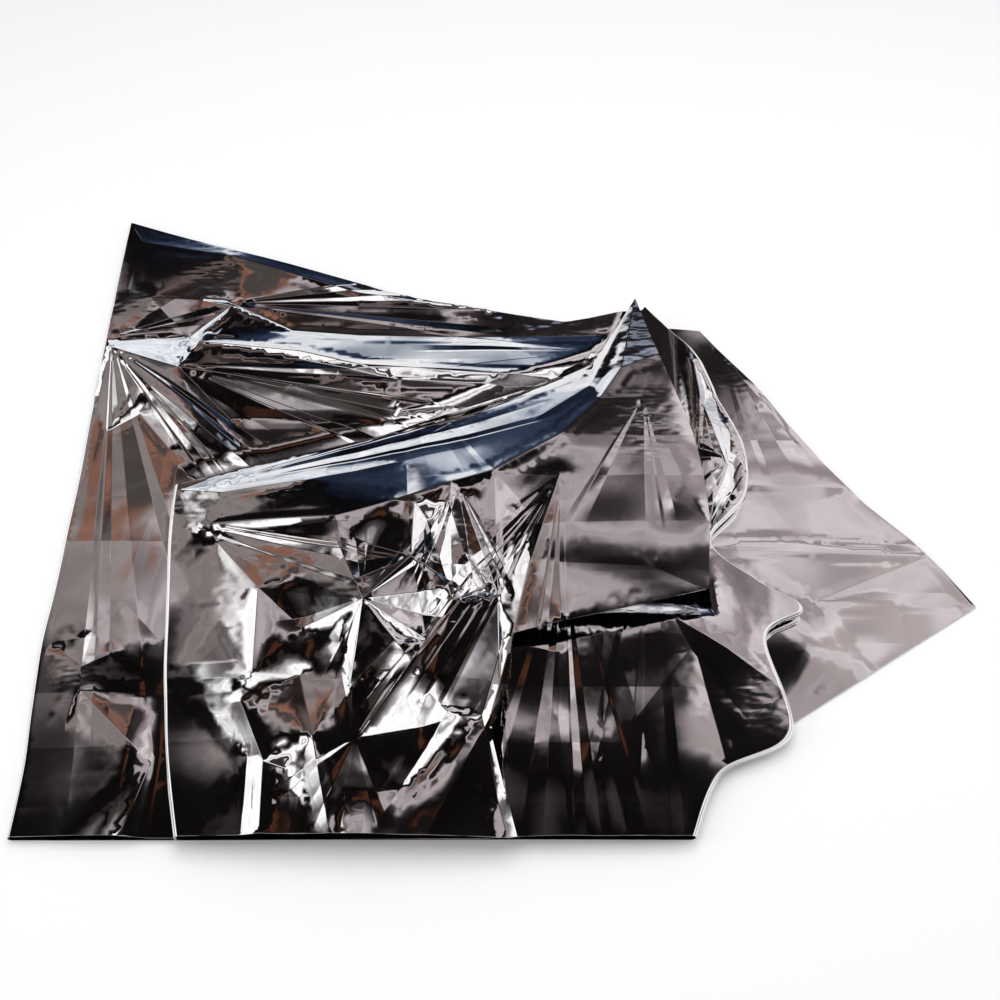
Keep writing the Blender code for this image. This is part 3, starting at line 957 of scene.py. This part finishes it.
# %% Film coating
COATING = "#F1EFEF"
# Colour of hazed film, and also the painted shade at crushed spots.
HAZE_AND_CRUSH_SHADE_COATING = "#D9D5D5"
HAZE_SIZE = 0.16
HAZE_SHARE = 0.35
ROUGHNESS = (0.035, 0.13)

foil = bpy.data.materials.new("aluminium_coated_polyester")
foil.use_nodes = True
tree = foil.node_tree
shader = tree.nodes["Principled BSDF"]
shader.inputs["Metallic"].default_value = 1.0
sheet_uv = add_node(tree, "ShaderNodeUVMap", {"uv_map": "sheet_metres"}).outputs[0]
crush_amount = add_node(tree, "ShaderNodeAttribute", {"attribute_name": "crinkle"}).outputs["Fac"]


def film_noise(size, detail, stretch=1.0):
    """Noise on the sheet's own metres, with features of a size."""
    spread = add_node(tree, "ShaderNodeMapping", Vector=sheet_uv, Scale=(stretch, 1.0, 1.0))
    return add_node(tree, "ShaderNodeTexNoise", Vector=spread.outputs[0], Scale=1.0 / size,
                    Detail=detail).outputs["Fac"]


haze = film_noise(HAZE_SIZE, 3.0)
# Real handling haze plus the crush amount, which darkens the colour as painted shade and roughens it.
haze_and_crush_shade = maths(tree, "ADD", maths(tree, "MULTIPLY", haze, HAZE_SHARE), crush_amount, clamp=True)
coating = add_node(tree, "ShaderNodeMix", {"data_type": "RGBA"}, i0=haze_and_crush_shade, i6=linear(COATING),
                   i7=linear(HAZE_AND_CRUSH_SHADE_COATING))
tree.links.new(coating.outputs[2], shader.inputs["Base Color"])
rough = add_node(tree, "ShaderNodeMapRange", Value=haze_and_crush_shade, To_Min=ROUGHNESS[0], To_Max=ROUGHNESS[1])
tree.links.new(rough.outputs[0], shader.inputs["Roughness"])
print("film material", foil.name)

# %% [markdown]
# The finest wrinkles are bump, because they are a millimetre or so high and too many for the
# mesh. They are strong where the film is crushed. Elsewhere a much fainter and wider unevenness
# keeps the reflections from looking like glass.

# %% Fine wrinkles
WRINKLE_SIZE = 0.014
WRINKLE_HEIGHT = 0.0016
WRINKLE_STRETCH = 0.45
FINE_SIZE = 0.055
FINE_HEIGHT = 0.00012

wrinkles = film_noise(WRINKLE_SIZE, 1.0, WRINKLE_STRETCH)
wrinkle_height = maths(tree, "MULTIPLY", wrinkles, crush_amount)
fine_height = maths(tree, "MULTIPLY", film_noise(FINE_SIZE, 0.0), FINE_HEIGHT / WRINKLE_HEIGHT)
bump = add_node(tree, "ShaderNodeBump", Height=maths(tree, "ADD", wrinkle_height, fine_height),
                Distance=WRINKLE_HEIGHT)
tree.links.new(bump.outputs[0], shader.inputs["Normal"])
film_mesh.materials.append(foil)
print("shader nodes", len(tree.nodes))

# %% [markdown]
# Geometry Nodes fold the packing creases into the sheet. Each crease has a height of its own,
# drawn from its number and a seed, and the film between two creases is straight. The slope is
# kept too, for the shading. The rule could be Python, but as nodes its pitch and its rise stay
# inputs that can be turned on any sheet.

# %% A strip of packing panels
def panels(tree, along, pitch, rise, seed):
    """Height and slope of a strip folded at a pitch, with a random height at each crease."""
    number = maths(tree, "DIVIDE", along, pitch)
    first = maths(tree, "FLOOR", number)
    ends = [add_node(tree, "ShaderNodeTexWhiteNoise", {"noise_dimensions": "1D"},
                     W=maths(tree, "ADD", maths(tree, "ADD", first, step), seed)).outputs["Value"]
            for step in (0.0, 1.0)]
    change = maths(tree, "MULTIPLY", maths(tree, "SUBTRACT", ends[1], ends[0]), rise)
    height = maths(tree, "ADD", maths(tree, "MULTIPLY", ends[0], rise),
                   maths(tree, "MULTIPLY", change, maths(tree, "SUBTRACT", number, first)))
    return height, maths(tree, "DIVIDE", change, pitch)


print("packing creases rise by up to", PACKED_RISE, "mm")

# %% [markdown]
# The node tree reads each point's place on the sheet, folds the sheet along and across with one
# strip each, moves the points up by the sum and hands on the slope.

# %% Node tree of the packing creases
packing = bpy.data.node_groups.new("packing_creases", "GeometryNodeTree")
packing.interface.new_socket("Sheet", in_out="OUTPUT", socket_type="NodeSocketGeometry")
for name, kind in (("Sheet", "NodeSocketGeometry"), ("Pitch along", "NodeSocketFloat"),
                   ("Pitch across", "NodeSocketFloat"), ("Rise", "NodeSocketFloat"),
                   ("Seed", "NodeSocketFloat"), ("Film", "NodeSocketMaterial")):
    packing.interface.new_socket(name, in_out="INPUT", socket_type=kind)
given = packing.nodes.new("NodeGroupInput").outputs
stored = add_node(packing, "GeometryNodeInputNamedAttribute", {"data_type": "FLOAT_VECTOR"},
                  Name="sheet_place").outputs["Attribute"]
along, across, shown = add_node(packing, "ShaderNodeSeparateXYZ", Vector=stored).outputs
along_height, along_slope = panels(packing, along, given["Pitch along"], given["Rise"], given["Seed"])
across_seed = maths(packing, "ADD", given["Seed"], 0.5)
across_height, across_slope = panels(packing, across, given["Pitch across"], given["Rise"], across_seed)
total = maths(packing, "MULTIPLY", maths(packing, "ADD", along_height, across_height), shown)
offset = add_node(packing, "ShaderNodeCombineXYZ", Z=total)
slopes = add_node(packing, "ShaderNodeCombineXYZ", X=maths(packing, "MULTIPLY", along_slope, shown),
                  Y=maths(packing, "MULTIPLY", across_slope, shown))
kept = add_node(packing, "GeometryNodeStoreNamedAttribute", {"data_type": "FLOAT_VECTOR"},
                Geometry=given["Sheet"], Name="packing_slope", Value=slopes.outputs[0])
folded = add_node(packing, "GeometryNodeSetPosition", Geometry=kept.outputs[0], Offset=offset.outputs[0])
coated = add_node(packing, "GeometryNodeSetMaterial", Geometry=folded.outputs[0], Material=given["Film"])
real = add_node(packing, "GeometryNodeRealizeInstances", Geometry=coated.outputs[0])
packing.links.new(real.outputs[0], packing.nodes.new("NodeGroupOutput").inputs[0])
print("packing creases nodes", len(packing.nodes))

# %% [markdown]
# The tree goes on the sheet as a modifier, with judged pitches. The heights are small, because the film
# has been pulled nearly flat since it was unpacked.

# %% Packing creases in the sheet
creased = film.modifiers.new("packing_creases", "NODES")
creased.node_group = packing
sockets = {item.name: item.identifier for item in packing.interface.items_tree if item.in_out == "INPUT"}
for name, value in (("Pitch along", PACKED_LENGTH * MM), ("Pitch across", PACKED_WIDTH * MM),
                    ("Rise", PACKED_RISE * MM), ("Seed", PACKED_SEED), ("Film", foil)):
    creased[sockets[name]] = value
print("packing creases inputs", sorted(sockets))

# %% [markdown]
# Real film is about 0.012 mm thick. Here it gets 0.4 mm, enough for its cut edges to catch a
# line of light at this distance. The modifiers are then made into one plain mesh.

# %% Thickness
solid = film.modifiers.new("film_thickness", "SOLIDIFY")
solid.thickness = FILM_THICKNESS * MM
solid.offset = 0.0
ready = bpy.data.meshes.new_from_object(film.evaluated_get(bpy.context.evaluated_depsgraph_get()))
film.modifiers.clear()
film.data = ready
print("film triangles", sum(len(face.vertices) - 2 for face in ready.polygons))

# %% [markdown]
# Each corner of the mesh is told which way the film faces there, from the facing worked out above
# less the slope of the packing creases. Without that, shading would be guessed from neighbouring
# faces and blur the creases. The narrow faces along the rim keep their own facing.

# %% Shading
RIM_AGREEMENT = 0.3
face_size = read_all(ready.polygons, "loop_total", int)
corner_point = read_all(ready.loops, "vertex_index", int)
own_face = np.repeat(np.arange(len(face_size)), face_size)
face_facing = read_all(ready.polygons, "normal", width=3)[own_face]
slope = read_all(ready.attributes["packing_slope"].data, "vector", width=3)[:len(points), :2]
slope = slope * np.stack((np.array(ways), np.ones(len(ways))), axis=1)
facing = np.array(facing)
facing[:, :2] -= slope
facing /= np.linalg.norm(facing, axis=1)[:, None]
wanted = facing[corner_point % len(points)]
agree = np.sum(wanted * face_facing, axis=1)
wanted *= np.where(agree < 0.0, -1.0, 1.0)[:, None]
on_rim = np.abs(agree) < RIM_AGREEMENT
wanted[on_rim] = face_facing[on_rim]
ready.normals_split_custom_set(wanted.tolist())
print("corners with their own facing", len(wanted))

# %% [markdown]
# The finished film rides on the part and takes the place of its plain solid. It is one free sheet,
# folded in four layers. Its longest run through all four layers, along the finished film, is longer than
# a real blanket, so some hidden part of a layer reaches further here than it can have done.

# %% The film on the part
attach(film, "root")
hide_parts("foil_sheet")
